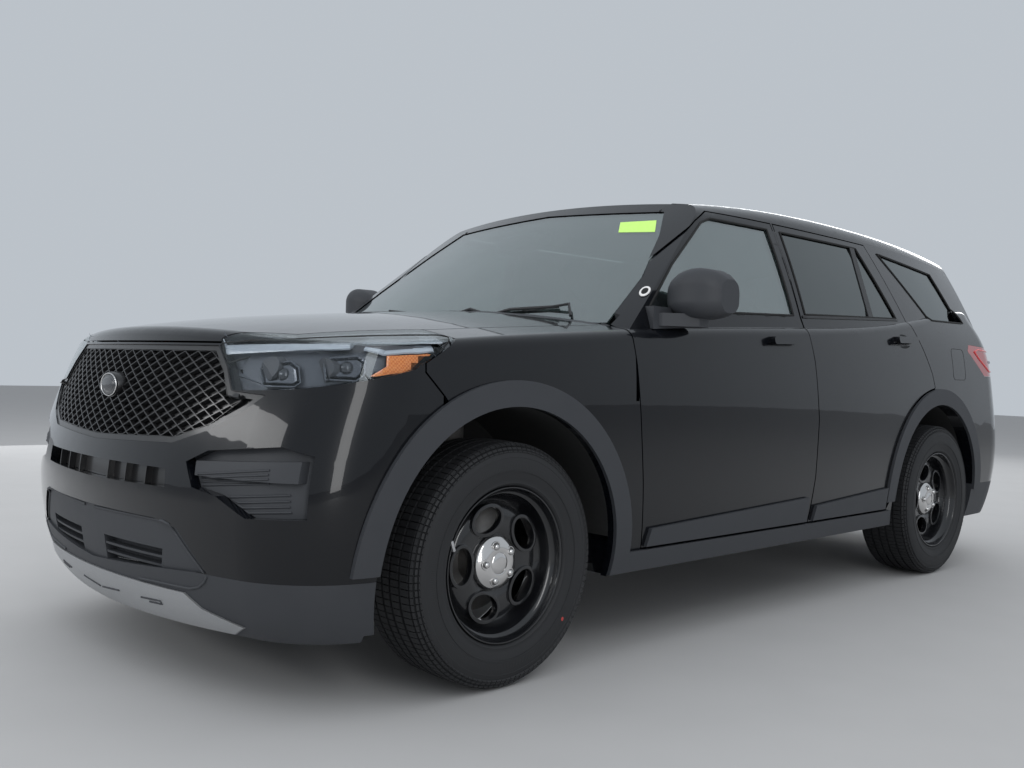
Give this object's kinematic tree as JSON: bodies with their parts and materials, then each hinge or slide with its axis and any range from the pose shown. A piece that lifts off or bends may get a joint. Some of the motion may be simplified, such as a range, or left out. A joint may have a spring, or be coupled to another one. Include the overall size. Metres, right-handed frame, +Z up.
{
  "type": "police patrol car",
  "caption": "Black mid-size sport utility patrol car on steel wheels, with opening doors, bonnet and tailgate, steered front wheels and a hollow cabin.",
  "frame": {"origin": "on the ground midway between the bumpers, on the centre plane", "axes": "+Z up, -Y forwards to the nose, +X to the car's left"},
  "size_m": [2.266, 5.0525, 1.7585],
  "materials": {
    "black_paint": "gloss",
    "slate_trim": "matt grained",
    "mesh_black": "satin",
    "clear_glass": "clear, faintly green",
    "privacy_glass": "dark tint",
    "lamp_lens": "clear moulded",
    "lamp_body": "satin grey",
    "tail_lamp_red": "gloss",
    "skid_silver": "satin",
    "wheel_black": "satin",
    "tyre": "matt",
    "cast_metal": "raw",
    "body_steel": "satin",
    "exhaust_steel": "dull",
    "liner_plastic": "matt",
    "seat_cloth": "woven",
    "cabin_plastic": "grained"
  },
  "bodies": {
    "body_shell": {"front_bumper": "black_paint", "front_fascia": "slate_trim", "skid_plate": "skid_silver", "grille": "mesh_black", "lower_grille": "slate_trim", "fog_bezels": "slate_trim", "headlamp_lenses": "lamp_lens", "headlamp_housings": "lamp_body", "wing_left": "black_paint", "wing_right": "black_paint", "cowl": "slate_trim", "windscreen": "clear_glass", "roof": "black_paint", "body_side_left": "black_paint", "body_side_right": "black_paint", "quarter_glass": "privacy_glass", "tail_lamps": "tail_lamp_red", "rear_bumper": "black_paint", "rear_fascia": "slate_trim", "body_cladding": "slate_trim", "wheel_liners": "liner_plastic", "floor_pan": "body_steel", "radiator": "cast_metal", "engine": "cast_metal", "front_subframe": "cast_metal", "rear_suspension": "cast_metal", "exhaust": "exhaust_steel", "front_seats": "seat_cloth", "rear_seat": "seat_cloth", "dashboard": "cabin_plastic", "steering_wheel": "cabin_plastic"},
    "front_door_left": {"front_door_left": "black_paint", "front_door_glass_left": "clear_glass", "front_door_cladding_left": "slate_trim", "mirror_left": "slate_trim"},
    "rear_door_left": {"rear_door_left": "black_paint", "rear_door_glass_left": "privacy_glass", "rear_door_cladding_left": "slate_trim"},
    "front_door_right": {"front_door_right": "black_paint", "front_door_glass_right": "clear_glass", "front_door_cladding_right": "slate_trim", "mirror_right": "slate_trim"},
    "rear_door_right": {"rear_door_right": "black_paint", "rear_door_glass_right": "privacy_glass", "rear_door_cladding_right": "slate_trim"},
    "bonnet": {"bonnet": "black_paint"},
    "tailgate": {"tailgate": "black_paint", "tailgate_glass": "privacy_glass"},
    "knuckle_left": {"knuckle_left": "cast_metal"},
    "knuckle_right": {"knuckle_right": "cast_metal"},
    "front_wheel_left": {"wheel_front_left": "wheel_black", "tyre_front_left": "tyre"},
    "rear_wheel_left": {"wheel_rear_left": "wheel_black", "tyre_rear_left": "tyre"},
    "front_wheel_right": {"wheel_front_right": "wheel_black", "tyre_front_right": "tyre"},
    "rear_wheel_right": {"wheel_rear_right": "wheel_black", "tyre_rear_right": "tyre"}
  },
  "joints": [
    {"name": "front_door_left_hinge", "type": "hinge", "parent": "body_shell", "child": "front_door_left", "pos_m": [0.972, -1.052, 0.8], "axis": [0, 0, -1], "range_deg": [0, 66]},
    {"name": "rear_door_left_hinge", "type": "hinge", "parent": "body_shell", "child": "rear_door_left", "pos_m": [0.972, 0.11, 0.8], "axis": [0, 0, -1], "range_deg": [0, 68]},
    {"name": "front_door_right_hinge", "type": "hinge", "parent": "body_shell", "child": "front_door_right", "pos_m": [-0.972, -1.052, 0.8], "axis": [0, 0, 1], "range_deg": [0, 66]},
    {"name": "rear_door_right_hinge", "type": "hinge", "parent": "body_shell", "child": "rear_door_right", "pos_m": [-0.972, 0.11, 0.8], "axis": [0, 0, 1], "range_deg": [0, 68]},
    {"name": "bonnet_hinge", "type": "hinge", "parent": "body_shell", "child": "bonnet", "pos_m": [0, -1.112, 1.136], "axis": [-1, 0, 0], "range_deg": [0, 55]},
    {"name": "tailgate_hinge", "type": "hinge", "parent": "body_shell", "child": "tailgate", "pos_m": [0, 1.9823, 1.704], "axis": [1, 0, 0], "range_deg": [0, 82]},
    {"name": "steering_left", "type": "hinge", "parent": "body_shell", "child": "knuckle_left", "pos_m": [0.735, -1.6265, 0.378], "axis": [0, 0, 1], "range_deg": [-34, 34]},
    {"name": "steering_right", "type": "hinge", "parent": "body_shell", "child": "knuckle_right", "pos_m": [-0.735, -1.6265, 0.378], "axis": [0, 0, 1], "range_deg": [-34, 34]},
    {"name": "front_wheel_left_spin", "type": "hinge", "parent": "knuckle_left", "child": "front_wheel_left", "pos_m": [0.851, -1.6265, 0.378], "axis": [1, 0, 0], "continuous": true},
    {"name": "rear_wheel_left_spin", "type": "hinge", "parent": "body_shell", "child": "rear_wheel_left", "pos_m": [0.851, 1.3985, 0.378], "axis": [1, 0, 0], "continuous": true},
    {"name": "front_wheel_right_spin", "type": "hinge", "parent": "knuckle_right", "child": "front_wheel_right", "pos_m": [-0.851, -1.6265, 0.378], "axis": [1, 0, 0], "continuous": true},
    {"name": "rear_wheel_right_spin", "type": "hinge", "parent": "body_shell", "child": "rear_wheel_right", "pos_m": [-0.851, 1.3985, 0.378], "axis": [1, 0, 0], "continuous": true}
  ],
  "couplings": [
    {"joint": "steering_right", "follows": "steering_left", "ratio": 1}
  ]
}
